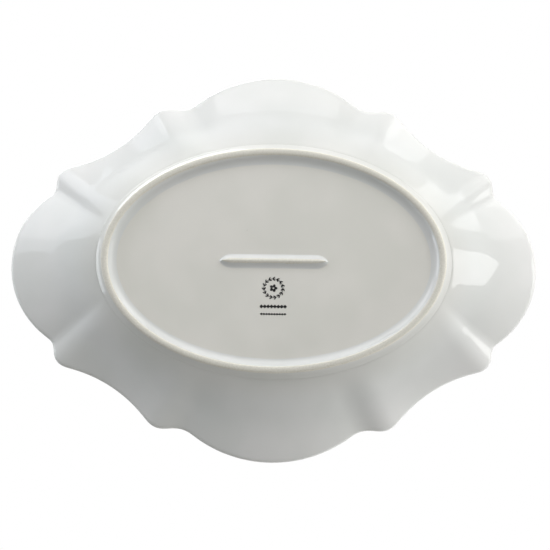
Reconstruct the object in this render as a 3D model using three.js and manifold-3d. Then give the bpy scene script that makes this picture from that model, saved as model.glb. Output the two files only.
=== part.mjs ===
// China serving platter: an oval dish with a scalloped, fluted rim on an elliptical foot ring.
// Millimetres, +Z up, serving side up. The origin is the centre of the foot ring's tread,
// X runs along the platter and the printed mark lies on the +Y side of the support rib.
import * as THREE from 'three';
import { mergeVertices } from 'three/addons/utils/BufferGeometryUtils.js';
import Module from 'manifold-3d';

// ---------------------------------------------------------------- driving dimensions
const LENGTH = 355.6;             // over the two end lobes
const WIDTH = 266;                // over the two side lobes
const HEIGHT = 34;                // from the tread to the top of the rim

const END_LOBE_RADIUS = 60.25;    // the lobe at each end of the long axis
const END_LOBE_ANGLE = 60.2;      // degrees from the long axis to the lobe's notch
const SIDE_LOBE_RADIUS = 87;      // the lobe at each side
const SIDE_LOBE_ANGLE = 43.1;     // degrees from the short axis to the lobe's notch
const END_SHELF = 15.6;           // short straight from the end lobe's notch to its corner
const END_SHELF_ANGLE = 85;       // degrees from the long axis
const SIDE_SHELF = 20.8;          // the same beside the side lobe
const SIDE_SHELF_ANGLE = 5.3;
const BAY_DEPTH = 9.4;            // how far the hollow bay between two corners is drawn in
const END_NOTCH_BLEND = 6;        // length of edge taken up on both sides by each rounding
const END_CORNER_BLEND = 12;
const SIDE_CORNER_BLEND = 9;
const SIDE_NOTCH_BLEND = 8;

const TREAD_LENGTH = 228;         // foot ring, along the middle of its tread
const TREAD_WIDTH = 150;
const TREAD_BAND = 4.2;           // width of the tread with its rounded edges
const TREAD_ROUND = 1;            // rounding of each tread edge
const OUTER_FLANK_RUN = 3.8;        // from the tread's edge out to the wall
const FLANK_FOOT_RUN = 0.8;       // the steep first part of that flank
const FLANK_FOOT_RISE = 2.8;
const INNER_COVE_RUN = 6.5;       // from the tread's edge in to the recess floor
const RECESS_DEPTH = 5;           // from the tread up to the recess floor

const BASE_THICKNESS = 5.5;       // recess floor to well floor
const WELL_INSET = 7.7;           // edge of the flat well inside the foot ring's outer edge
const WELL_SWEEP = 0.12;          // share of the wall taken up by the curve out of the well
const WALL_FLARE = 0.17;          // 0 is a straight wall, more makes it flatter at the rim
const LIP_THICKNESS = 4.6;        // the rim's full round
const LIP_TILT = 60;              // degrees, the way the wall runs into the round
const RIDGE_FAN = 3;              // degrees that each ridge leans away from its bay

const RIB_LENGTH = 74;            // kiln support rib along the middle of the recess
const RIB_BASE_WIDTH = 10;
const RIB_CREST_WIDTH = 1.8;
const RIB_CLEARANCE = 2;          // crest above the tread's plane
const RIB_HOLLOW = 1.9;           // 1 is a straight flank, more makes it more hollow
const RIB_TAPER = 9;              // length of each pointed end

const PRINT_THICKNESS = 0.12;     // the fired print's film
const WREATH_DIAMETER = 15.2;
const WREATH_LEAVES = 15;         // pairs
const WREATH_OFFSET = 18.4;       // from the rib to the middle of the wreath
const BLOSSOM_DIAMETER = 5.4;
const UPPER_RULE_LENGTH = 18.2;
const UPPER_RULE_HEIGHT = 2.6;
const UPPER_RULE_LOZENGES = 8;
const UPPER_RULE_OFFSET = 31;
const LOWER_RULE_LENGTH = 17.6;
const LOWER_RULE_HEIGHT = 1.6;
const LOWER_RULE_LOZENGES = 10;
const LOWER_RULE_OFFSET = 36.2;

// ---------------------------------------------------------------- finishes
const GLAZED_PORCELAIN = { color: '#eceeea', roughness: 0.08, metalness: 0 };
const FOOT_PORCELAIN = { color: '#dcd9cd', roughness: 0.35, metalness: 0 };
const RIB_PORCELAIN = { color: '#e4e3da', roughness: 0.2, metalness: 0 };
const FIRED_PRINT = { color: '#1d1d1c', roughness: 0.3, metalness: 0 };

// ---------------------------------------------------------------- the rim's outline
const rad = THREE.MathUtils.degToRad;

// Points along a line or a circular arc, both ends included.
function linePoints(from, to, steps) {
  return Array.from({ length: steps + 1 }, (_, i) => from.clone().lerp(to, i / steps));
}

function arcPoints(centre, radius, startAngle, endAngle, steps) {
  return Array.from({ length: steps + 1 }, (_, i) => {
    const angle = startAngle + ((endAngle - startAngle) * i) / steps;
    return new THREE.Vector2(Math.cos(angle), Math.sin(angle)).multiplyScalar(radius).add(centre);
  });
}

// The shallow arc between two corners, hollow on the outside.
function bayPoints(from, to, depth, steps) {
  const chord = to.clone().sub(from);
  const outward = new THREE.Vector2(chord.y, -chord.x).normalize();
  const radius = (chord.lengthSq() / 4 + depth * depth) / (2 * depth);
  const centre = from.clone().lerp(to, 0.5).addScaledVector(outward, radius - depth);
  const half = Math.asin(chord.length() / 2 / radius);
  const middle = outward.clone().negate().angle();
  return arcPoints(centre, radius, middle + half, middle - half, steps);
}

// Shortens a run of points at its end by a length, keeping at least a third of it.
function trimEnd(points, length) {
  const total = points.slice(1).reduce((sum, p, i) => sum + p.distanceTo(points[i]), 0);
  let left = Math.max(total - length, total / 3);
  const kept = [points[0]];
  for (let i = 1; i < points.length; i += 1) {
    const step = points[i].distanceTo(points[i - 1]);
    if (step >= left) {
      kept.push(points[i - 1].clone().lerp(points[i], left / step));
      break;
    }
    kept.push(points[i]);
    left -= step;
  }
  return kept;
}

function trimStart(points, length) {
  return trimEnd([...points].reverse(), length).reverse();
}

// Joins two runs that meet at a corner with a curve tangent to both.
function blendRuns(before, after, length, steps) {
  const corner = after[0];
  const head = trimEnd(before, length);
  const tail = trimStart(after, length);
  const curve = new THREE.QuadraticBezierCurve(head.at(-1), corner, tail[0]);
  return [...head, ...curve.getPoints(steps).slice(1, -1), ...tail];
}

// One quarter of the outline, from the long axis round to the short axis.
function quarterOutline() {
  const endCentre = new THREE.Vector2(LENGTH / 2 - END_LOBE_RADIUS, 0);
  const sideCentre = new THREE.Vector2(0, WIDTH / 2 - SIDE_LOBE_RADIUS);
  const quarterTurn = Math.PI / 2;
  const endLobe = arcPoints(endCentre, END_LOBE_RADIUS, 0, rad(END_LOBE_ANGLE), 9);
  const sideLobe = arcPoints(sideCentre, SIDE_LOBE_RADIUS, quarterTurn - rad(SIDE_LOBE_ANGLE), quarterTurn, 9);
  const endShelfRun = new THREE.Vector2(END_SHELF, 0).rotateAround(new THREE.Vector2(), rad(END_SHELF_ANGLE));
  const sideShelfRun = new THREE.Vector2(SIDE_SHELF, 0).rotateAround(new THREE.Vector2(), rad(SIDE_SHELF_ANGLE));
  const endCorner = endLobe.at(-1).clone().add(endShelfRun);
  const sideCorner = sideLobe[0].clone().add(sideShelfRun);
  const runs = [
    endLobe,
    linePoints(endLobe.at(-1), endCorner, 1),
    bayPoints(endCorner, sideCorner, BAY_DEPTH, 9),
    linePoints(sideCorner, sideLobe[0], 1),
    sideLobe,
  ];
  const blends = [END_NOTCH_BLEND, END_CORNER_BLEND, SIDE_CORNER_BLEND, SIDE_NOTCH_BLEND];
  return runs.slice(1).reduce((path, run, i) => blendRuns(path, run, blends[i], 4), runs[0]);
}

// The whole outline, anticlockwise, mirrored about both axes.
function fullOutline() {
  const quarter = quarterOutline();
  const back = [...quarter].reverse();
  return [
    ...quarter,
    ...back.slice(1).map((p) => new THREE.Vector2(-p.x, p.y)),
    ...quarter.slice(1).map((p) => new THREE.Vector2(-p.x, -p.y)),
    ...back.slice(1, -1).map((p) => new THREE.Vector2(p.x, -p.y)),
  ];
}

// ---------------------------------------------------------------- the foot ellipse
// An ellipse that runs a given distance outside the middle of the tread.
function footAxes(offset) {
  return new THREE.Vector2(TREAD_LENGTH / 2 + offset, TREAD_WIDTH / 2 + offset);
}

const FOOT_OUTER = TREAD_BAND / 2 + OUTER_FLANK_RUN;

// The angle on the ellipse nearest to a point outside it, by Newton's method.
function nearestAngle(axes, point) {
  const spread = axes.x * axes.x - axes.y * axes.y;
  const px = axes.x * point.x;
  const py = axes.y * point.y;
  let angle = Math.atan2(point.y * axes.x, point.x * axes.y);
  for (let i = 0; i < 12; i += 1) {
    const sin = Math.sin(angle);
    const cos = Math.cos(angle);
    const slope = px * cos + py * sin - spread * (cos * cos - sin * sin);
    angle -= (px * sin - py * cos - spread * sin * cos) / slope;
  }
  return angle;
}

function ellipsePoint(axes, angle) {
  return new THREE.Vector2(axes.x * Math.cos(angle), axes.y * Math.sin(angle));
}

// ---------------------------------------------------------------- closed solids from contours
// Skins neighbouring contours of equal point count. A loop closes the last contour onto the
// first, as in a ring; otherwise a flat cap closes each end. Contours run anticlockwise, and
// go from the bottom outwards and up, so that the faces point out.
function skin(contours, isLoop) {
  const count = contours[0].length;
  const vertices = contours.flat().flatMap((p) => [p.x, p.y, p.z]);
  const faces = [];
  const lastRow = isLoop ? contours.length : contours.length - 1;
  for (let row = 0; row < lastRow; row += 1) {
    const low = row * count;
    const high = ((row + 1) % contours.length) * count;
    for (let i = 0; i < count; i += 1) {
      const j = (i + 1) % count;
      faces.push(low + i, low + j, high + j, low + i, high + j, high + i);
    }
  }
  if (!isLoop) {
    [contours[0], contours.at(-1)].forEach((contour, end) => {
      const centre = vertices.length / 3;
      const start = end * (contours.length - 1) * count;
      const middle = contour.reduce((sum, p) => sum.add(p), new THREE.Vector3()).divideScalar(count);
      vertices.push(middle.x, middle.y, middle.z);
      for (let i = 0; i < count; i += 1) {
        const j = (i + 1) % count;
        faces.push(centre, start + (end ? i : j), start + (end ? j : i));
      }
    });
  }
  const geometry = new THREE.BufferGeometry();
  geometry.setAttribute('position', new THREE.Float32BufferAttribute(vertices, 3));
  geometry.setIndex(faces);
  geometry.computeVertexNormals();
  return geometry;
}

function namedMesh(name, geometry, finish) {
  const mesh = new THREE.Mesh(geometry, new THREE.MeshStandardMaterial(finish));
  mesh.name = name;
  return mesh;
}

// ---------------------------------------------------------------- platter body
// Every point of the rim has a foot point on the ellipse. The wall between the two carries
// the rim's lobes, notches and corners inwards as flutes that fade out at the foot.
function wallStations() {
  const outerAxes = footAxes(FOOT_OUTER);
  const wellAxes = footAxes(FOOT_OUTER - WELL_INSET);
  return fullOutline().map((rim) => {
    const nearest = nearestAngle(outerAxes, rim);
    const angle = nearest - rad(RIDGE_FAN) * Math.sin(4 * nearest);
    const foot = ellipsePoint(outerAxes, angle);
    const inward = foot.clone().sub(rim).normalize();
    return { rim, foot, well: ellipsePoint(wellAxes, angle), inward };
  });
}

// Height along the underside of the wall, 0 at the foot and 1 at the lip.
function undersideRise(level) {
  return (1 + WALL_FLARE) * level - WALL_FLARE * level * level;
}

// The same on the serving side, which leaves the well on a smooth curve.
function servingRise(level) {
  const sweep = Math.hypot(level, WELL_SWEEP) - WELL_SWEEP;
  const whole = Math.hypot(1, WELL_SWEEP) - WELL_SWEEP;
  return undersideRise(sweep / whole);
}

function platterBody() {
  const stations = wallStations();
  const lipRadius = LIP_THICKNESS / 2;
  const lipPoint = (station, angle) => {
    const inset = lipRadius * (1 - Math.cos(angle));
    const plan = station.rim.clone().addScaledVector(station.inward, inset);
    return new THREE.Vector3(plan.x, plan.y, HEIGHT - lipRadius + lipRadius * Math.sin(angle));
  };
  const wallPoint = (root, floor, top, level, rise) => {
    const plan = root.clone().lerp(new THREE.Vector2(top.x, top.y), level);
    return new THREE.Vector3(plan.x, plan.y, floor + (top.z - floor) * rise(level));
  };
  const lipStart = -rad(LIP_TILT);
  const lipEnd = Math.PI - rad(LIP_TILT);
  const wellFloor = RECESS_DEPTH + BASE_THICKNESS;

  const underside = [0, 0.1, 0.3, 0.5, 0.7, 0.86].map((level) => stations.map(
    (s) => wallPoint(s.foot, RECESS_DEPTH, lipPoint(s, lipStart), level, undersideRise),
  ));
  const lipSteps = 6;
  const lip = Array.from({ length: lipSteps + 1 }, (_, i) => stations.map(
    (s) => lipPoint(s, lipStart + ((lipEnd - lipStart) * i) / lipSteps),
  ));
  const servingSide = [0.86, 0.66, 0.46, 0.28, 0.14, 0.06, 0].map((level) => stations.map(
    (s) => wallPoint(s.well, wellFloor, lipPoint(s, lipEnd), level, servingRise),
  ));
  return skin([...underside, ...lip, ...servingSide], false);
}

// ---------------------------------------------------------------- foot ring
// The section of the ring: a hollow cove inside, a steeper flank outside that runs into the
// wall without a corner, and between them the narrow tread with its edges rounded. It joins
// the body on the recess floor's plane.
function treadEdge(side) {
  const half = TREAD_BAND / 2;
  return [0, 30, 60].map((degrees) => [
    side * (half - TREAD_ROUND * (1 - Math.sin(rad(degrees)))),
    TREAD_ROUND * (1 - Math.cos(rad(degrees))),
  ]);
}

function outerFlank() {
  const foot = new THREE.Vector2(TREAD_BAND / 2, TREAD_ROUND);
  const bend = foot.clone().add(new THREE.Vector2(FLANK_FOOT_RUN, FLANK_FOOT_RISE - TREAD_ROUND));
  const top = new THREE.Vector2(FOOT_OUTER, RECESS_DEPTH);
  return new THREE.QuadraticBezierCurve(foot, bend, top).getPoints(5).map((p) => [p.x, p.y]);
}

function innerCove() {
  return [12, 24, 40, 56, 73, 90].map((degrees) => [
    -TREAD_BAND / 2 - INNER_COVE_RUN * (1 - Math.cos(rad(degrees))),
    RECESS_DEPTH * Math.sin(rad(degrees)),
  ]);
}

function footRing() {
  const section = [
    ...treadEdge(1),
    ...outerFlank(),
    ...innerCove().reverse(),
    ...treadEdge(-1).reverse(),
  ];
  const sides = 96;
  const contours = section.map(([offset, height]) => Array.from({ length: sides }, (_, i) => {
    const plan = ellipsePoint(footAxes(offset), (i / sides) * 2 * Math.PI);
    return new THREE.Vector3(plan.x, plan.y, height);
  }));
  return skin(contours, true);
}

// ---------------------------------------------------------------- support rib
// A bar with hollow flanks and pointed ends, which holds up the middle of the base in the kiln.
function ribContour(width, height) {
  const halfLength = RIB_LENGTH / 2 - (RIB_BASE_WIDTH - width) / 4;
  const half = width / 2;
  const shoulder = halfLength - RIB_TAPER;
  const shape = new THREE.Shape();
  shape.moveTo(halfLength, 0);
  shape.quadraticCurveTo(halfLength - RIB_TAPER / 3, half, shoulder, half);
  shape.lineTo(-shoulder, half);
  shape.quadraticCurveTo(-halfLength + RIB_TAPER / 3, half, -halfLength, 0);
  shape.quadraticCurveTo(-halfLength + RIB_TAPER / 3, -half, -shoulder, -half);
  shape.lineTo(shoulder, -half);
  shape.quadraticCurveTo(halfLength - RIB_TAPER / 3, -half, halfLength, 0);
  const points = shape.getPoints(4).slice(0, -1);
  return points.map((p) => new THREE.Vector3(p.x, p.y, height));
}

function supportRib() {
  const depth = RECESS_DEPTH - RIB_CLEARANCE;
  const spread = (RIB_BASE_WIDTH - RIB_CREST_WIDTH) / 2;
  const crest = ribContour(RIB_CREST_WIDTH * 0.6, RIB_CLEARANCE);
  const flanks = [0.04, 0.2, 0.4, 0.65, 1].map((share) => ribContour(
    RIB_CREST_WIDTH + 2 * spread * share,
    RIB_CLEARANCE + depth * (1 - (1 - share) ** RIB_HOLLOW),
  ));
  return skin([crest, ...flanks], false);
}

// ---------------------------------------------------------------- fired print
// Each print is a thin film on the recess floor.
function printFilm(shape, offset) {
  const geometry = new THREE.ExtrudeGeometry(shape, {
    depth: PRINT_THICKNESS, bevelEnabled: false, curveSegments: 5,
  });
  return geometry.translate(0, offset, RECESS_DEPTH - PRINT_THICKNESS);
}

// A chain of lozenges joined by a thin line.
function lozengeRule(length, height, count, offset) {
  const pitch = length / count;
  const neck = height / 9;
  const upper = [];
  for (let i = 0; i < count; i += 1) {
    const start = -length / 2 + i * pitch;
    upper.push(new THREE.Vector2(start, neck));
    upper.push(new THREE.Vector2(start + pitch / 2, height / 2));
  }
  upper.push(new THREE.Vector2(length / 2, neck));
  const lower = [...upper].reverse().map((p) => new THREE.Vector2(p.x, -p.y));
  return printFilm(new THREE.Shape([...upper, ...lower].reverse()), offset);
}

// A five-petalled flower with a round eye.
function blossom() {
  const petals = 5;
  const steps = 50;
  const outline = Array.from({ length: steps }, (_, i) => {
    const angle = (i / steps) * 2 * Math.PI;
    const petal = 0.6 + 0.4 * Math.abs(Math.cos((petals * angle) / 2));
    return new THREE.Vector2(Math.cos(angle), Math.sin(angle)).multiplyScalar((petal * BLOSSOM_DIAMETER) / 2);
  });
  const shape = new THREE.Shape(outline);
  const eye = new THREE.Path();
  eye.absarc(0, 0, BLOSSOM_DIAMETER / 9, 0, 2 * Math.PI, true);
  shape.holes.push(eye);
  return printFilm(shape, WREATH_OFFSET);
}

const manifold = await Module();
manifold.setup();

function toSolid(geometry) {
  const bare = geometry.clone();
  bare.deleteAttribute('normal');
  bare.deleteAttribute('uv');
  const merged = mergeVertices(bare, 1e-4);
  return new manifold.Manifold(new manifold.Mesh({
    numProp: 3,
    vertProperties: new Float32Array(merged.attributes.position.array),
    triVerts: new Uint32Array(merged.index.array),
  }));
}

function toGeometry(solid) {
  const mesh = solid.getMesh();
  const geometry = new THREE.BufferGeometry();
  geometry.setAttribute('position', new THREE.BufferAttribute(new Float32Array(mesh.vertProperties), 3));
  geometry.setIndex(new THREE.BufferAttribute(new Uint32Array(mesh.triVerts), 1));
  geometry.computeVertexNormals();
  return geometry;
}

// A ring-shaped stem with pairs of small leaves that lie along it.
function wreath() {
  const stemRadius = WREATH_DIAMETER * 0.42;
  const stemHalf = WREATH_DIAMETER / 80;
  const leafLength = WREATH_DIAMETER * 0.155;
  const leafHalf = WREATH_DIAMETER / 34;
  const stem = new THREE.Shape();
  stem.absarc(0, 0, stemRadius + stemHalf, 0, 2 * Math.PI);
  const opening = new THREE.Path();
  opening.absarc(0, 0, stemRadius - stemHalf, 0, 2 * Math.PI, true);
  stem.holes.push(opening);
  const stemFilm = new THREE.ExtrudeGeometry(stem, {
    depth: PRINT_THICKNESS, bevelEnabled: false, curveSegments: 48,
  });
  let solid = toSolid(stemFilm.translate(0, WREATH_OFFSET, RECESS_DEPTH - PRINT_THICKNESS));
  for (let i = 0; i < WREATH_LEAVES * 2; i += 1) {
    const isOuter = i % 2 === 0;
    const turn = (Math.floor(i / 2) / WREATH_LEAVES) * 2 * Math.PI;
    const leaf = new THREE.Shape();
    leaf.moveTo(0, 0);
    leaf.quadraticCurveTo(leafLength / 2, leafHalf * 2, leafLength, 0);
    leaf.quadraticCurveTo(leafLength / 2, -leafHalf * 2, 0, 0);
    const film = new THREE.ExtrudeGeometry(leaf, {
      depth: PRINT_THICKNESS, bevelEnabled: false, curveSegments: 4,
    });
    film.rotateZ(turn + (isOuter ? rad(58) : rad(128)));
    film.translate(
      stemRadius * Math.cos(turn),
      stemRadius * Math.sin(turn) + WREATH_OFFSET,
      RECESS_DEPTH - PRINT_THICKNESS,
    );
    solid = solid.add(toSolid(film));
  }
  return toGeometry(solid);
}

// ---------------------------------------------------------------- the platter
const platter = new THREE.Group();
platter.add(
  namedMesh('platter_body', platterBody(), GLAZED_PORCELAIN),
  namedMesh('foot_ring', footRing(), FOOT_PORCELAIN),
  namedMesh('support_rib', supportRib(), RIB_PORCELAIN),
  namedMesh('backstamp_wreath', wreath(), FIRED_PRINT),
  namedMesh('backstamp_blossom', blossom(), FIRED_PRINT),
  namedMesh('backstamp_rule_upper', lozengeRule(
    UPPER_RULE_LENGTH, UPPER_RULE_HEIGHT, UPPER_RULE_LOZENGES, UPPER_RULE_OFFSET,
  ), FIRED_PRINT),
  namedMesh('backstamp_rule_lower', lozengeRule(
    LOWER_RULE_LENGTH, LOWER_RULE_HEIGHT, LOWER_RULE_LOZENGES, LOWER_RULE_OFFSET,
  ), FIRED_PRINT),
);

export default platter;
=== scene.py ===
import math

import bmesh
import bpy
from mathutils import Matrix, Quaternion, Vector


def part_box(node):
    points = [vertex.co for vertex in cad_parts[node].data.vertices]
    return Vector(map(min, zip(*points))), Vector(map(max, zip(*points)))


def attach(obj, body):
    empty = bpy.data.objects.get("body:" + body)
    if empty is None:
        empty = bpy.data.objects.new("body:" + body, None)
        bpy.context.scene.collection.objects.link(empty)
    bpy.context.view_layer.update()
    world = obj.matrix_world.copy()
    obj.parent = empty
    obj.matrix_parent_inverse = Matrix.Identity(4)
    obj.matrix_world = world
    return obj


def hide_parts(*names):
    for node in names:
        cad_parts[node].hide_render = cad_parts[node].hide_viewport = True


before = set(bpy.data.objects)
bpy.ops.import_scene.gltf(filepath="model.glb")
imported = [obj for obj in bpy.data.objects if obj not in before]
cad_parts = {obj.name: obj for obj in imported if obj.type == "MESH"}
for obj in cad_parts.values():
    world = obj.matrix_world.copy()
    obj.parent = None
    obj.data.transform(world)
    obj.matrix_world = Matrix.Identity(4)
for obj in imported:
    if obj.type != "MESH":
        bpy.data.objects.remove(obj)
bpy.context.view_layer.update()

MM = 0.001                             # one millimetre
rad = math.radians

# ---------------------------------------------------------------- sizes
dish_low, dish_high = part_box("platter_body")
ring_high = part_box("foot_ring")[1]
rib_low, rib_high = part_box("support_rib")

HALF_LENGTH = dish_high.x
HALF_WIDTH = dish_high.y
RIM_TOP = dish_high.z
RECESS_DEPTH = dish_low.z
BASE_THICKNESS = 5.5 * MM

END_LOBE_RADIUS = 60.25 * MM
END_LOBE_ANGLE = rad(60.2)
SIDE_LOBE_RADIUS = 87 * MM
SIDE_LOBE_ANGLE = rad(43.1)
END_SHELF = 15.6 * MM
END_SHELF_ANGLE = rad(85)
SIDE_SHELF = 20.8 * MM
SIDE_SHELF_ANGLE = rad(5.3)
BAY_DEPTH = 9.4 * MM
EDGE_BLENDS = [6 * MM, 12 * MM, 9 * MM, 8 * MM]

TREAD_BAND = 4.2 * MM
TREAD_ROUND = 1 * MM
OUTER_FLANK_RUN = 3.8 * MM
INNER_COVE_RUN = 6.5 * MM
FOOT_OUTER = TREAD_BAND / 2 + OUTER_FLANK_RUN
FOOT_INNER = -TREAD_BAND / 2 - INNER_COVE_RUN
TREAD_AXES = Vector((ring_high.x - FOOT_OUTER, ring_high.y - FOOT_OUTER))

WELL_INSET = 7.7 * MM
WELL_SWEEP = 0.12
LIP_THICKNESS = 4.6 * MM
LIP_TILT = rad(60)
RIDGE_FAN = rad(3)


# ---------------------------------------------------------------- small helpers
def deselect_all():
    if bpy.context.object and bpy.context.object.mode != "OBJECT":
        bpy.ops.object.mode_set(mode="OBJECT")
    bpy.ops.object.select_all(action="DESELECT")


def select_only(piece):
    deselect_all()
    piece.select_set(True)
    bpy.context.view_layer.objects.active = piece


def line_points(start, end, steps):
    return [start.lerp(end, i / steps) for i in range(steps + 1)]


def unit_vector(angle):
    return Vector((math.cos(angle), math.sin(angle)))


def arc_points(centre, radius, start, end, steps):
    angles = [start + (end - start) * i / steps for i in range(steps + 1)]
    return [centre + radius * unit_vector(angle) for angle in angles]


def bay_points(start, end, depth, steps):
    """The shallow arc between two corners, hollow on the outside."""
    chord = end - start
    outward = Vector((chord.y, -chord.x)).normalized()
    radius = (chord.length_squared / 4 + depth * depth) / (2 * depth)
    centre = start.lerp(end, 0.5) + outward * (radius - depth)
    half = math.asin(chord.length / 2 / radius)
    middle = math.atan2(-outward.y, -outward.x)
    return arc_points(centre, radius, middle + half, middle - half, steps)


def trim_end(points, length):
    """Shortens a run of points at its end, keeping at least a third of it."""
    total = sum((b - a).length for a, b in zip(points, points[1:]))
    left = max(total - length, total / 3)
    kept = [points[0]]
    for a, b in zip(points, points[1:]):
        step = (b - a).length
        if step >= left:
            kept.append(a.lerp(b, left / step))
            break
        kept.append(b)
        left -= step
    return kept


def blend_runs(before, after, length, steps):
    """Joins two runs that meet at a corner with a curve tangent to both."""
    corner = after[0]
    head = trim_end(before, length)
    tail = trim_end(after[::-1], length)[::-1]
    curve = []
    for i in range(1, steps):
        t = i / steps
        curve.append((1 - t) ** 2 * head[-1] + 2 * t * (1 - t) * corner + t * t * tail[0])
    return head + curve + tail


def mirror_quarter(quarter):
    """A closed outline from its first quarter, mirrored about both axes."""
    back = quarter[::-1]
    return (
        quarter
        + [Vector((-p.x, p.y)) for p in back[1:]]
        + [Vector((-p.x, -p.y)) for p in quarter[1:]]
        + [Vector((p.x, -p.y)) for p in back[1:-1]]
    )


def at_height(point, height):
    return point.to_3d() + Vector((0, 0, height))


def rim_outline(lobe_steps=10, blend_steps=5):
    """The scalloped outline, anticlockwise from the long axis, mirrored about both axes."""
    end_centre = Vector((HALF_LENGTH - END_LOBE_RADIUS, 0))
    side_centre = Vector((0, HALF_WIDTH - SIDE_LOBE_RADIUS))
    quarter_turn = math.pi / 2
    end_lobe = arc_points(end_centre, END_LOBE_RADIUS, 0, END_LOBE_ANGLE, lobe_steps)
    side_lobe = arc_points(side_centre, SIDE_LOBE_RADIUS, quarter_turn - SIDE_LOBE_ANGLE,
                           quarter_turn, lobe_steps)
    end_corner = end_lobe[-1] + END_SHELF * unit_vector(END_SHELF_ANGLE)
    side_corner = side_lobe[0] + SIDE_SHELF * unit_vector(SIDE_SHELF_ANGLE)
    runs = [
        line_points(end_lobe[-1], end_corner, 1),
        bay_points(end_corner, side_corner, BAY_DEPTH, lobe_steps),
        line_points(side_corner, side_lobe[0], 1),
        side_lobe,
    ]
    quarter = end_lobe
    for run, blend in zip(runs, EDGE_BLENDS):
        quarter = blend_runs(quarter, run, blend, blend_steps)
    return mirror_quarter(quarter)


def foot_axes(offset):
    """Half axes of the ellipse that runs an offset outside the middle of the tread."""
    return TREAD_AXES + Vector((offset, offset))


def ellipse_point(axes, angle):
    return Vector((axes.x * math.cos(angle), axes.y * math.sin(angle)))


NEWTON_ROUNDS = 12


def nearest_angle(axes, point):
    """The angle on the ellipse nearest to a point outside it, by Newton's method."""
    spread = axes.x * axes.x - axes.y * axes.y
    px = axes.x * point.x
    py = axes.y * point.y
    angle = math.atan2(point.y * axes.x, point.x * axes.y)
    for _ in range(NEWTON_ROUNDS):
        s, c = math.sin(angle), math.cos(angle)
        slope = px * c + py * s - spread * (c * c - s * s)
        angle -= (px * s - py * c - spread * s * c) / slope
    return angle


# ---------------------------------------------------------------- meshes
def extrude_contours(name, contours, is_loop=False):
    """A skin that starts as a circle and grows by one extrusion for each contour, all with the
    same count of points. A loop is closed on itself, as in a ring; otherwise both ends stay open."""
    deselect_all()
    count = len(contours[0])
    bpy.ops.mesh.primitive_circle_add(vertices=count, radius=HALF_WIDTH, fill_type="NOTHING")
    piece = bpy.context.object
    piece.name = name
    bpy.ops.object.mode_set(mode="EDIT")
    for row, contour in enumerate(contours):
        if row:
            bpy.ops.mesh.extrude_region_move()
        mesh = bmesh.from_edit_mesh(piece.data)
        mesh.verts.ensure_lookup_table()
        for vertex, point in zip(mesh.verts[row * count:], contour):
            vertex.co = point
        bmesh.update_edit_mesh(piece.data)
    if is_loop:
        bpy.ops.mesh.select_mode(type="EDGE")
        bpy.ops.mesh.select_all(action="DESELECT")
        bpy.ops.mesh.select_non_manifold(use_wire=False, use_multi_face=False, use_verts=False)
        bpy.ops.mesh.bridge_edge_loops()
    bpy.ops.object.mode_set(mode="OBJECT")
    return piece


def smooth_and_apply(piece, levels):
    subdivide = piece.modifiers.new("smooth", "SUBSURF")
    subdivide.levels = levels
    subdivide.render_levels = levels
    select_only(piece)
    bpy.ops.object.modifier_apply(modifier="smooth")


def cap_flat(piece, height):
    """Fills the open end that lies at a height with a fan of faces about its middle."""
    select_only(piece)
    bpy.ops.object.mode_set(mode="EDIT")
    bpy.ops.mesh.select_mode(type="EDGE")
    bpy.ops.mesh.select_all(action="DESELECT")
    mesh = bmesh.from_edit_mesh(piece.data)
    for edge in mesh.edges:
        if edge.is_boundary and abs(edge.verts[0].co.z - height) < 0.1 * MM:
            edge.select_set(True)
    bmesh.update_edit_mesh(piece.data)
    bpy.ops.mesh.edge_face_add()
    bpy.ops.mesh.poke()
    bpy.ops.object.mode_set(mode="OBJECT")


def finish_surface(piece):
    """Turns every face outwards and shades the piece smooth."""
    select_only(piece)
    bpy.ops.object.mode_set(mode="EDIT")
    bpy.ops.mesh.select_all(action="SELECT")
    bpy.ops.mesh.normals_make_consistent(inside=False)
    bpy.ops.object.mode_set(mode="OBJECT")
    bpy.ops.object.shade_smooth()


def settle(piece, node):
    """Puts a finished piece on its body, in place of its CAD node."""
    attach(piece, "root")
    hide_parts(node)


# ---------------------------------------------------------------- dish
SUBDIVISION = 2
RECESS_SHARES = (0.8, 0.9, 0.98)       # rings of the flat recess, as shares of the foot's ellipse
WELL_SHARES = (0.95, 0.85)             # the same for the flat well on the serving side
# Rings of the wall underneath and on the serving side, from the foot, 0, to the rim, 1.
WALL_LEVELS = (0, 0.04, 0.12, 0.25, 0.38, 0.46, 0.54, 0.62, 0.75, 0.87, 0.95)
SERVING_LEVELS = (0.93, 0.8, 0.66, 0.55, 0.44, 0.3, 0.18, 0.09, 0.03, 0)
LIP_STEPS = 6
WALL_INNER_SLOPE = 1.16                # rise against an even wall, near the foot
WALL_OUTER_SLOPE = 0.84                # and near the rim
WALL_BREAK = 0.5                       # where the wall turns flatter
WALL_BREAK_WIDTH = 0.2


def wall_rise(level):
    """Height share of the wall: two gentle slopes joined by a soft shoulder."""
    steps = 40
    def slope(t):
        u = min(max((t - WALL_BREAK) / WALL_BREAK_WIDTH + 0.5, 0), 1)
        return WALL_INNER_SLOPE + (WALL_OUTER_SLOPE - WALL_INNER_SLOPE) * u * u * (3 - 2 * u)
    def area(end):
        return sum(slope((i + 0.5) / steps * end) for i in range(steps)) * end / steps
    return area(level) / area(1)


def serving_rise(level):
    """The same on the serving side, which leaves the well on a smooth curve."""
    sweep = math.hypot(level, WELL_SWEEP) - WELL_SWEEP
    whole = math.hypot(1, WELL_SWEEP) - WELL_SWEEP
    return wall_rise(sweep / whole)


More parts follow.
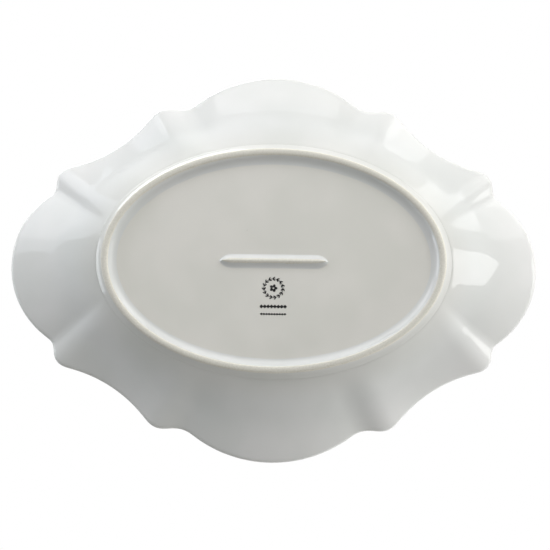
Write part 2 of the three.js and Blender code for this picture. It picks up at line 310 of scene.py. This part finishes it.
def make_dish():
    outer_axes = foot_axes(FOOT_OUTER)
    well_axes = foot_axes(FOOT_OUTER - WELL_INSET)
    lip_radius = LIP_THICKNESS / 2
    stations = []
    for rim in rim_outline():
        nearest = nearest_angle(outer_axes, rim)
        angle = nearest - RIDGE_FAN * math.sin(4 * nearest)
        foot = ellipse_point(outer_axes, angle)
        stations.append((rim, foot, ellipse_point(well_axes, angle), (foot - rim).normalized()))

    def lip_point(station, angle):
        rim, _, _, inward = station
        plan = rim + inward * lip_radius * (1 - math.cos(angle))
        return at_height(plan, RIM_TOP - lip_radius + lip_radius * math.sin(angle))

    def wall_point(root, floor, top, level, rise):
        plan = root.lerp(top.to_2d(), level)
        return at_height(plan, floor + (top.z - floor) * rise(level))

    lip_start = -LIP_TILT
    lip_end = math.pi - LIP_TILT
    well_floor = RECESS_DEPTH + BASE_THICKNESS
    contours = [[at_height(s[1] * share, RECESS_DEPTH) for s in stations] for share in RECESS_SHARES]
    for level in WALL_LEVELS:
        contours.append([wall_point(s[1], RECESS_DEPTH, lip_point(s, lip_start), level, wall_rise)
                         for s in stations])
    for step in range(LIP_STEPS + 1):
        angle = lip_start + (lip_end - lip_start) * step / LIP_STEPS
        contours.append([lip_point(s, angle) for s in stations])
    for level in SERVING_LEVELS:
        contours.append([wall_point(s[2], well_floor, lip_point(s, lip_end), level, serving_rise)
                         for s in stations])
    for share in WELL_SHARES:
        contours.append([at_height(s[2] * share, well_floor) for s in stations])
    dish = extrude_contours("dish", contours)
    smooth_and_apply(dish, SUBDIVISION)
    cap_flat(dish, RECESS_DEPTH)
    cap_flat(dish, well_floor)
    finish_surface(dish)
    settle(dish, "platter_body")
    return dish


# ---------------------------------------------------------------- foot ring
FLANK_FOOT = 0.9 * MM                  # height at which the tread's rounding ends
FLANK_BEND = (0.8 * MM, 2.9 * MM)      # where the steep flank would meet the wall's slope
FLANK_END = (4.2 * MM, 5.35 * MM)      # just inside the wall, along its slope
TREAD_CROWN = 1.9 * MM                 # width of the rounding at each side of the tread
RING_SINK = 0.8 * MM                   # how far the ring's top is set into the body
RING_TOP_INSETS = (1 * MM, 1.4 * MM)   # its edges inside the flank and inside the cove
COVE_LAP = (0.2 * MM, 0.1 * MM)        # how far the cove's end runs past the recess floor
RING_SIDES = 128


def flank_point(share):
    """Point of the outer flank: from the tread's edge into the wall without a corner."""
    start = (1 - share) ** 2
    bend = 2 * share * (1 - share)
    end = share * share
    return (TREAD_BAND / 2 + bend * FLANK_BEND[0] + end * FLANK_END[0],
            start * FLANK_FOOT + bend * FLANK_BEND[1] + end * FLANK_END[1])


def tread_point(side, degrees):
    """Point of the crowned tread, from its level middle to its edge."""
    return (side * (TREAD_BAND / 2 - TREAD_CROWN * (1 - math.sin(rad(degrees)))),
            TREAD_ROUND * (1 - math.cos(rad(degrees))))


def inner_cove_point(degrees):
    return (-TREAD_BAND / 2 - INNER_COVE_RUN * (1 - math.cos(rad(degrees))),
            RECESS_DEPTH * math.sin(rad(degrees)))


def make_foot_ring():
    section = (
        [tread_point(1, degrees) for degrees in (0, 25, 50, 72)]
        + [flank_point(share) for share in (0.08, 0.2, 0.34, 0.48, 0.64, 0.8, 1)]
        + [(FOOT_OUTER - RING_TOP_INSETS[0], RECESS_DEPTH + RING_SINK)]
        + [(FOOT_INNER + RING_TOP_INSETS[1], RECESS_DEPTH + RING_SINK)]
        + [(FOOT_INNER - COVE_LAP[0], RECESS_DEPTH + COVE_LAP[1])]
        + [inner_cove_point(degrees) for degrees in (86, 74, 60, 46, 32, 20)]
        + [tread_point(-1, degrees) for degrees in (72, 50, 25, 0)]
    )
    contours = []
    for offset, height in section:
        axes = foot_axes(offset)
        contours.append([at_height(ellipse_point(axes, 2 * math.pi * i / RING_SIDES), height)
                         for i in range(RING_SIDES)])
    ring = extrude_contours("ring", contours, is_loop=True)
    smooth_and_apply(ring, SUBDIVISION)
    finish_surface(ring)
    settle(ring, "foot_ring")
    return ring


# ---------------------------------------------------------------- support rib
RIB_LENGTH = rib_high.x - rib_low.x
RIB_BASE_WIDTH = rib_high.y - rib_low.y
RIB_CREST_HEIGHT = rib_low.z
RIB_CREST_WIDTH = 1.8 * MM
RIB_TAPER = 9 * MM
RIB_SINK = 0.3 * MM
RIB_HOLLOW = 1.9                       # 1 is a straight flank, more makes it more hollow
RIB_CREST_ROUND = ((0.3, 0), (0.65, 0.08 * MM), (0.92, 0.28 * MM))   # share of width, drop


def rib_outline(width, height):
    """A bar with pointed ends, anticlockwise from its tip."""
    half = width / 2
    tip = RIB_LENGTH / 2 - (RIB_BASE_WIDTH - width) / 4
    shoulder = tip - RIB_TAPER
    quarter = []
    for i in range(9):
        t = i / 8
        along = tip * (1 - t) ** 2 + 2 * t * (1 - t) * (tip - RIB_TAPER / 3) + t * t * shoulder
        quarter.append(Vector((along, half * t * (2 - t))))
    quarter += [Vector((shoulder * (1 - i / 6), half)) for i in range(1, 7)]
    return [at_height(point, height) for point in mirror_quarter(quarter)]


def make_rib():
    depth = RECESS_DEPTH - RIB_CREST_HEIGHT
    spread = RIB_BASE_WIDTH - RIB_CREST_WIDTH
    contours = [rib_outline(RIB_CREST_WIDTH * share, RIB_CREST_HEIGHT + drop)
                for share, drop in RIB_CREST_ROUND]
    for share in (0.06, 0.16, 0.3, 0.46, 0.64, 0.82, 1):
        contours.append(rib_outline(RIB_CREST_WIDTH + spread * share,
                                    RIB_CREST_HEIGHT + depth * (1 - (1 - share) ** RIB_HOLLOW)))
    contours.append(rib_outline(RIB_BASE_WIDTH * 0.9, RECESS_DEPTH + RIB_SINK))
    rib = extrude_contours("rib", contours)
    smooth_and_apply(rib, SUBDIVISION)
    cap_flat(rib, contours[0][0].z)
    cap_flat(rib, contours[-1][0].z)
    finish_surface(rib)
    settle(rib, "support_rib")
    return rib


dish = make_dish()
ring = make_foot_ring()
rib = make_rib()


# ---------------------------------------------------------------- materials
def srgb(code):
    """A hex colour as linear red, green, blue, alpha."""
    parts = [int(code[i:i + 2], 16) / 255 for i in (1, 3, 5)]
    return [c / 12.92 if c <= 0.04045 else ((c + 0.055) / 1.055) ** 2.4 for c in parts] + [1]


def add_node(tree, kind, inputs=(), stops=(), **settings):
    """Adds a node with its settings. inputs maps a socket to a value or to an output, and stops
    are a colour ramp's (place, hex colour) pairs."""
    node = tree.nodes.new(kind)
    for key, value in settings.items():
        setattr(node, key, value)
    if stops:
        node.color_ramp.interpolation = "EASE"
        for _ in stops[2:]:
            node.color_ramp.elements.new(0.5)
        for element, (place, colour) in zip(node.color_ramp.elements, stops):
            element.position = place
            element.color = srgb(colour)
    for socket, value in dict(inputs).items():
        if isinstance(value, bpy.types.NodeSocket):
            tree.links.new(value, node.inputs[socket])
        else:
            node.inputs[socket].default_value = value
    return node


def foot_distance(tree, point):
    """Signed distance, in metres, outside the middle of the tread's ellipse."""
    shrink = (1 / TREAD_AXES.x, 1 / TREAD_AXES.y, 0)
    flat = add_node(tree, "ShaderNodeVectorMath", {0: point, 1: shrink}, operation="MULTIPLY").outputs[0]
    level = add_node(tree, "ShaderNodeVectorMath", {0: flat}, operation="LENGTH").outputs["Value"]
    steeper = add_node(tree, "ShaderNodeVectorMath", {0: flat, 1: shrink}, operation="MULTIPLY").outputs[0]
    slope = add_node(tree, "ShaderNodeVectorMath", {0: steeper}, operation="LENGTH").outputs["Value"]
    above = add_node(tree, "ShaderNodeMath", {0: level, 1: 1}, operation="SUBTRACT").outputs[0]
    scaled = add_node(tree, "ShaderNodeMath", {0: above, 1: level}, operation="MULTIPLY").outputs[0]
    return add_node(tree, "ShaderNodeMath", {0: scaled, 1: slope}, operation="DIVIDE").outputs[0]


BODY_ROUGHNESS = 0.55
BISCUIT_ROUGHNESS = 0.8
CLOUD_SIZE = 45.45 * MM                # faint cloudiness of the fired body
SPECK_SPACING = 9 * MM
SPECK_RARITY = 0.93                    # share of the cells that hold no iron speck
GLAZE_WAVE = 14 * MM                   # slow waviness of the glaze
ORANGE_PEEL = 2.2 * MM
BISCUIT_GRAIN = 1.1 * MM               # coarser than real, so that it shows
GLAZE_LINE_WAVE = 5 * MM
FOOT_BARE_HEIGHT = 1.45 * MM           # the foot is bare below this, give or take the wander
FOOT_BARE_WANDER = 0.25 * MM
RIB_BARE_HEIGHT = 0.9 * MM             # the same on the rib, from its crest
RIB_BARE_WANDER = 0.3 * MM
INK_SPREAD = 0.8 * MM


def glaze(tree, point, shader, bare=None, recess_painted_light="#e9eae8"):
    """White porcelain body under a clear, bright glaze. The body shows in the base colour, and
    the coat is the glaze, smooth as glass but faintly wavy from the way it ran when it melted.
    Underneath, the base colour carries painted light and shade. It is greyer by the foot as
    painted shade, creamier inside the foot as painted warm light, and whiter towards the rim as
    painted light. The serving side is an even white. Here and there is a speck of iron. bare,
    from 0 to 1, is where there is no glaze and the dry biscuit shows."""
    distance = foot_distance(tree, point)
    # Painted light and shade on the underside: greyer by the foot (painted shade), the recess tint inside it
    # (painted warm light), whiter towards the rim (painted light).
    place = add_node(tree, "ShaderNodeMapRange", {"Value": distance, "From Min": -20 * MM,
                     "From Max": 60 * MM}).outputs["Result"]
    underside = add_node(tree, "ShaderNodeValToRGB", {"Fac": place}, stops=[
        (0.2, recess_painted_light), (0.3, "#e2e2de"), (0.55, "#e8e9e7"), (0.85, "#efefed")]).outputs["Color"]
    normal = add_node(tree, "ShaderNodeTexCoord").outputs["Normal"]
    facing = add_node(tree, "ShaderNodeSeparateXYZ", {0: normal}).outputs["Z"]
    serving = add_node(tree, "ShaderNodeMapRange", {"Value": facing, "From Min": -0.2, "From Max": 0.4},
                       interpolation_type="SMOOTHSTEP").outputs["Result"]
    # The underside's painted light and shade, turning to the serving side's even white where the surface
    # faces up.
    painted_light_tint = add_node(tree, "ShaderNodeMix", {"Factor": serving, 6: underside, 7: srgb("#eeeeeb")},
                         data_type="RGBA").outputs[2]
    cloud = add_node(tree, "ShaderNodeTexNoise", {"Vector": point, "Scale": 1 / CLOUD_SIZE,
                                                  "Detail": 2}).outputs["Fac"]
    shade = add_node(tree, "ShaderNodeValToRGB", {"Fac": cloud},
                     stops=[(0.35, "#ffffff"), (0.65, "#f9faf9")]).outputs["Color"]
    tint = add_node(tree, "ShaderNodeMix", {"Factor": 1, 6: painted_light_tint, 7: shade}, data_type="RGBA",
                    blend_type="MULTIPLY").outputs[2]

    # Iron specks, dark over some 0.3 mm and gone at 0.8 mm, each in the middle of a rare cell.
    cells = add_node(tree, "ShaderNodeTexVoronoi", {"Vector": point, "Scale": 1 / SPECK_SPACING})
    chance = add_node(tree, "ShaderNodeSeparateColor", {0: cells.outputs["Color"]}).outputs[0]
    rare = add_node(tree, "ShaderNodeMath", {0: chance, 1: SPECK_RARITY}, operation="GREATER_THAN").outputs[0]
    near = add_node(tree, "ShaderNodeMapRange", {"Value": cells.outputs["Distance"], "From Min": 0.018,
                    "From Max": 0.045, "To Min": 0.5, "To Max": 0}).outputs["Result"]
    speck = add_node(tree, "ShaderNodeMath", {0: rare, 1: near}, operation="MULTIPLY").outputs[0]
    specked = add_node(tree, "ShaderNodeMix", {"Factor": speck, 6: tint, 7: srgb("#9d968a")},
                       data_type="RGBA").outputs[2]

    # The glaze's slow waviness and its fine orange peel.
    wave = add_node(tree, "ShaderNodeTexNoise", {"Vector": point, "Scale": 1 / GLAZE_WAVE,
                                                 "Detail": 1}).outputs["Fac"]
    peel = add_node(tree, "ShaderNodeTexNoise", {"Vector": point, "Scale": 1 / ORANGE_PEEL,
                                                 "Detail": 0}).outputs["Fac"]
    coarse = add_node(tree, "ShaderNodeBump", {"Height": wave, "Strength": 0.5, "Distance": 0.11 * MM})
    fine = add_node(tree, "ShaderNodeBump", {"Height": peel, "Strength": 0.5, "Distance": 0.01 * MM,
                                             "Normal": coarse.outputs[0]})
    tree.links.new(fine.outputs[0], shader.inputs["Coat Normal"])

    shader.inputs["Roughness"].default_value = BODY_ROUGHNESS
    shader.inputs["Coat Weight"].default_value = 1
    shader.inputs["Coat Roughness"].default_value = 0.02
    shader.inputs["Coat IOR"].default_value = 1.5
    if bare is None:
        tree.links.new(specked, shader.inputs["Base Color"])
        return
    grain = add_node(tree, "ShaderNodeTexNoise", {"Vector": point, "Scale": 1 / BISCUIT_GRAIN,
                                                  "Detail": 3}).outputs["Fac"]
    biscuit = add_node(tree, "ShaderNodeValToRGB", {"Fac": grain},
                       stops=[(0.3, "#dddace"), (0.5, "#e5e2d7"), (0.75, "#ece9df")]).outputs["Color"]
    colour = add_node(tree, "ShaderNodeMix", {"Factor": bare, 6: specked, 7: biscuit},
                      data_type="RGBA").outputs[2]
    tree.links.new(colour, shader.inputs["Base Color"])
    covered = add_node(tree, "ShaderNodeMath", {0: 1, 1: bare}, operation="SUBTRACT").outputs[0]
    tree.links.new(covered, shader.inputs["Coat Weight"])
    rough = add_node(tree, "ShaderNodeMapRange", {"Value": bare, "To Min": BODY_ROUGHNESS,
                     "To Max": BISCUIT_ROUGHNESS}).outputs["Result"]
    tree.links.new(rough, shader.inputs["Roughness"])
    grit = add_node(tree, "ShaderNodeMath", {0: grain, 1: bare}, operation="MULTIPLY").outputs[0]
    dry = add_node(tree, "ShaderNodeBump", {"Height": grit, "Strength": 0.6, "Distance": 0.05 * MM})
    tree.links.new(dry.outputs[0], shader.inputs["Normal"])


def bare_below(tree, point, height, wander):
    """1 on a wiped or ground edge lower than a height, with the glaze's slightly uneven line."""
    level = add_node(tree, "ShaderNodeSeparateXYZ", {0: point}).outputs["Z"]
    uneven = add_node(tree, "ShaderNodeTexNoise", {"Vector": point, "Scale": 1 / GLAZE_LINE_WAVE,
                                                   "Detail": 2}).outputs["Fac"]
    line = add_node(tree, "ShaderNodeMapRange", {"Value": uneven, "From Min": 0.3, "From Max": 0.7,
                    "To Min": height - wander, "To Max": height + wander}).outputs["Result"]
    past = add_node(tree, "ShaderNodeMath", {0: level, 1: line}, operation="SUBTRACT").outputs[0]
    return add_node(tree, "ShaderNodeMapRange", {"Value": past, "From Min": -0.12 * MM, "From Max": 0.12 * MM,
                    "To Min": 1, "To Max": 0}, interpolation_type="SMOOTHSTEP").outputs["Result"]


def new_material(name):
    """A new material with its node tree, its shader and the point in the object's own frame."""
    material = bpy.data.materials.new(name)
    material.use_nodes = True
    tree = material.node_tree
    point = add_node(tree, "ShaderNodeTexCoord").outputs["Object"]
    return material, tree, tree.nodes["Principled BSDF"], point


def glazed_porcelain():
    """White hard-paste porcelain under a clear gloss glaze: the dish."""
    material, tree, shader, point = new_material("glazed_porcelain")
    # The cream in the recess is painted warm light.
    glaze(tree, point, shader, recess_painted_light="#eeece5")
    return material


def wiped_foot_porcelain():
    """The same porcelain, whose foot was wiped free of glaze before firing, so that it wouldn't
    stick to the kiln shelf: a dry, cream-coloured band."""
    material, tree, shader, point = new_material("wiped_foot_porcelain")
    glaze(tree, point, shader, bare_below(tree, point, FOOT_BARE_HEIGHT, FOOT_BARE_WANDER))
    return material


def ground_rib_porcelain():
    """Glazed porcelain whose crest rested on the kiln shelf and was ground clean."""
    material, tree, shader, point = new_material("ground_rib_porcelain")
    bare = bare_below(tree, point, RIB_CREST_HEIGHT + RIB_BARE_HEIGHT, RIB_BARE_WANDER)
    glaze(tree, point, shader, bare)
    return material


def fired_ink():
    """Black ceramic ink printed on the body and fired into the glaze: soft black, a little
    thinner here and there, and as glossy as the glaze round it."""
    material, tree, shader, point = new_material("fired_ink")
    spread = add_node(tree, "ShaderNodeTexNoise", {"Vector": point, "Scale": 1 / INK_SPREAD,
                                                   "Detail": 3}).outputs["Fac"]
    ink = add_node(tree, "ShaderNodeValToRGB", {"Fac": spread},
                   stops=[(0.3, "#1a1a1b"), (0.62, "#242425"), (0.8, "#454545")]).outputs["Color"]
    tree.links.new(ink, shader.inputs["Base Color"])
    shader.inputs["Roughness"].default_value = 0.45
    shader.inputs["Coat Weight"].default_value = 0.6
    shader.inputs["Coat Roughness"].default_value = 0.06
    return material


def cover(piece, material):
    piece.data.materials.clear()
    piece.data.materials.append(material)


cover(dish, glazed_porcelain())
cover(ring, wiped_foot_porcelain())
cover(rib, ground_rib_porcelain())
ink = fired_ink()
for node in ("backstamp_wreath", "backstamp_blossom", "backstamp_rule_upper", "backstamp_rule_lower"):
    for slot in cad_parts[node].material_slots:
        slot.material = ink


# ---------------------------------------------------------------- camera
VIEW_TILT = rad(11.8)
VIEW_ROLL = rad(0.72)
toward_camera = Vector((0, math.sin(VIEW_TILT), -math.cos(VIEW_TILT)))
view_up = Vector((0, -math.cos(VIEW_TILT), -math.sin(VIEW_TILT)))
view_right = Vector((1, 0, 0))
VIEW_DISTANCE = 4
VIEW_WIDTH = 372.5 * MM                # what the frame takes in at the point aimed at
AIM_HEIGHT = 31.7 * MM
AIM_RIGHT = 0.9 * MM
AIM_DOWN = 3.7 * MM


def add_camera():
    data = bpy.data.cameras.new("camera")
    camera = bpy.data.objects.new("camera", data)
    bpy.context.scene.collection.objects.link(camera)
    data.sensor_width = 36
    data.lens = data.sensor_width * VIEW_DISTANCE / VIEW_WIDTH
    data.clip_end = 50
    right = view_right * math.cos(VIEW_ROLL) + view_up * math.sin(VIEW_ROLL)
    up = view_up * math.cos(VIEW_ROLL) - view_right * math.sin(VIEW_ROLL)
    aim = Vector((0, 0, AIM_HEIGHT)) + right * AIM_RIGHT - up * AIM_DOWN
    rotation = Matrix((right, up, toward_camera)).transposed().to_4x4()
    camera.matrix_world = Matrix.Translation(aim + toward_camera * VIEW_DISTANCE) @ rotation
    bpy.context.scene.camera = camera


add_camera()


# ---------------------------------------------------------------- studio
LAMP_DISTANCE = 1.5
FLOOR_SIZE = 12
FLOOR_EVEN = (0.3, 1.3)                # the paper turns evenly lit between these distances
FAR_FLOOR = 0.8                        # brightness of the far floor and of the backdrop's foot
ROOM_FILL = 0.18                       # brightness of the dim room, as light
CEILING_NEAR = 0.1                     # what the ceiling adds to it on the near side
CEILING_FAR = 0.6                      # and beyond the top edge of the view
PAPER_FIBRE = 2.5 * MM


def add_area_light(name, azimuth, polar, size, power, colour="#ffffff", mirrored=True, spin=0,
                   distance=LAMP_DISTANCE):
    """A soft box aimed at the platter. Its azimuth goes from the right of the view towards its
    top, and its polar angle starts at the camera. The glaze mirrors it if mirrored, and it is
    turned by spin in its own plane."""
    plane = view_right * math.cos(rad(azimuth)) + view_up * math.sin(rad(azimuth))
    direction = plane * math.sin(rad(polar)) + toward_camera * math.cos(rad(polar))
    data = bpy.data.lights.new(name, "AREA")
    data.shape = "RECTANGLE"
    data.size, data.size_y = size
    data.energy = power
    data.color = srgb(colour)[:3]
    light = bpy.data.objects.new(name, data)
    bpy.context.scene.collection.objects.link(light)
    light.visible_camera = False
    light.visible_glossy = mirrored
    light.location = direction * distance
    light.rotation_mode = "QUATERNION"
    turn = Quaternion((0, 0, 1), rad(spin))
    light.rotation_quaternion = direction.to_track_quat("Z", "Y") @ turn


def add_world():
    """To the eye, a white backdrop, a little greyer down at the floor. As light it is a dim room
    below the horizon and a white wall and ceiling above it, brighter beyond the top edge of the
    view than on the near side."""
    world = bpy.data.worlds.new("studio")
    bpy.context.scene.world = world
    world.use_nodes = True
    tree = world.node_tree
    output = tree.nodes["World Output"]
    tree.nodes.remove(tree.nodes["Background"])
    direction = add_node(tree, "ShaderNodeTexCoord").outputs["Generated"]
    axes = add_node(tree, "ShaderNodeSeparateXYZ", {0: direction})
    above = add_node(tree, "ShaderNodeMapRange", {"Value": axes.outputs["Z"], "From Min": -0.05,
                     "From Max": 0.15}, interpolation_type="SMOOTHSTEP").outputs["Result"]
    beyond = add_node(tree, "ShaderNodeMapRange", {"Value": axes.outputs["Y"], "From Min": 0.5,
                      "From Max": -0.7, "To Min": CEILING_NEAR, "To Max": CEILING_FAR},
                      interpolation_type="SMOOTHSTEP").outputs["Result"]
    ceiling = add_node(tree, "ShaderNodeMath", {0: above, 1: beyond}, operation="MULTIPLY").outputs[0]
    strength = add_node(tree, "ShaderNodeMath", {0: ceiling, 1: ROOM_FILL}, operation="ADD").outputs[0]
    fill = add_node(tree, "ShaderNodeBackground", {"Color": srgb("#fefdf8"), "Strength": strength})
    sweep = add_node(tree, "ShaderNodeMapRange", {"Value": axes.outputs["Z"], "From Min": 0,
                     "From Max": 0.5, "To Min": FAR_FLOOR, "To Max": 1},
                     interpolation_type="SMOOTHSTEP").outputs["Result"]
    seen = add_node(tree, "ShaderNodeBackground", {"Color": srgb("#ffffff"), "Strength": sweep})
    camera_ray = add_node(tree, "ShaderNodeLightPath").outputs["Is Camera Ray"]
    mix = add_node(tree, "ShaderNodeMixShader", {0: camera_ray, 1: fill.outputs[0], 2: seen.outputs[0]})
    tree.links.new(mix.outputs[0], output.inputs["Surface"])


def plain_floor():
    """Pale seamless paper, which is lit evenly in the distance and meets the backdrop without a
    line. From below it is clear, and it doesn't hold back the lamps that stand lower than the
    platter."""
    deselect_all()
    bpy.ops.mesh.primitive_plane_add(size=FLOOR_SIZE)
    floor = bpy.context.object
    floor.name = "floor"
    material, tree, shader, point = new_material("seamless_paper")
    shader.inputs["Base Color"].default_value = srgb("#eeeeec")
    shader.inputs["Roughness"].default_value = 0.9
    fibre = add_node(tree, "ShaderNodeTexNoise", {"Vector": point, "Scale": 1 / PAPER_FIBRE, "Detail": 2})
    weave = add_node(tree, "ShaderNodeBump", {"Height": fibre.outputs["Fac"], "Strength": 0.1,
                                              "Distance": 0.1 * MM})
    tree.links.new(weave.outputs[0], shader.inputs["Normal"])
    away = add_node(tree, "ShaderNodeVectorMath", {0: point}, operation="LENGTH").outputs["Value"]
    distant = add_node(tree, "ShaderNodeMapRange", {"Value": away, "From Min": FLOOR_EVEN[0],
                       "From Max": FLOOR_EVEN[1]}, interpolation_type="SMOOTHSTEP").outputs["Result"]
    even = add_node(tree, "ShaderNodeEmission", {"Color": srgb("#ffffff"), "Strength": FAR_FLOOR})
    paper = add_node(tree, "ShaderNodeMixShader", {0: distant, 1: shader.outputs[0], 2: even.outputs[0]})
    under = add_node(tree, "ShaderNodeNewGeometry").outputs["Backfacing"]
    clear = add_node(tree, "ShaderNodeBsdfTransparent")
    both = add_node(tree, "ShaderNodeMixShader", {0: under, 1: paper.outputs[0], 2: clear.outputs[0]})
    tree.links.new(both.outputs[0], tree.nodes["Material Output"].inputs["Surface"])
    cover(floor, material)
    floor.visible_shadow = False
    floor.visible_diffuse = False
    floor.visible_glossy = False


add_world()
plain_floor()

# Lamps below the floor, which light the underside: a bright wall of soft boxes beyond the top
# edge, lower ones at both sides, and next to nothing from the near side. The windows are the
# crisp bright shapes that the glaze mirrors on the left and right lobes.
add_area_light("top_left_window", 132, 70, (0.75, 1.0), 3.9, "#eff5ff", spin=-22)
add_area_light("top_middle_panel", 91, 80, (1.0, 1.45), 2.6)
add_area_light("top_right_panel", 54, 77, (1.0, 1.45), 7.9, mirrored=False)
add_area_light("top_softbox", 92, 62, (3.0, 0.8), 9.4)
add_area_light("left_panel", 172, 82, (1.0, 0.5), 6.0, "#f3f8ff")
add_area_light("right_panel", 352, 86, (1.2, 0.4), 5.8, mirrored=False)
add_area_light("window", 14, 65, (0.66, 0.42), 3.0, spin=25)
add_area_light("side_window", 50, 87, (0.53, 0.66), 2.1)
add_area_light("near_panel", 285, 70, (0.6, 0.5), 0.5, mirrored=False)
add_area_light("near_right_panel", 315, 78, (0.9, 0.5), 7.4, mirrored=False)

# Lamps above the floor, for the serving side.
add_area_light("serving_key", 120, 130, (1.0, 0.9), 11)
add_area_light("serving_fill", 300, 140, (1.6, 1.2), 5, distance=1.8)

bpy.context.scene.view_settings.view_transform = "Standard"
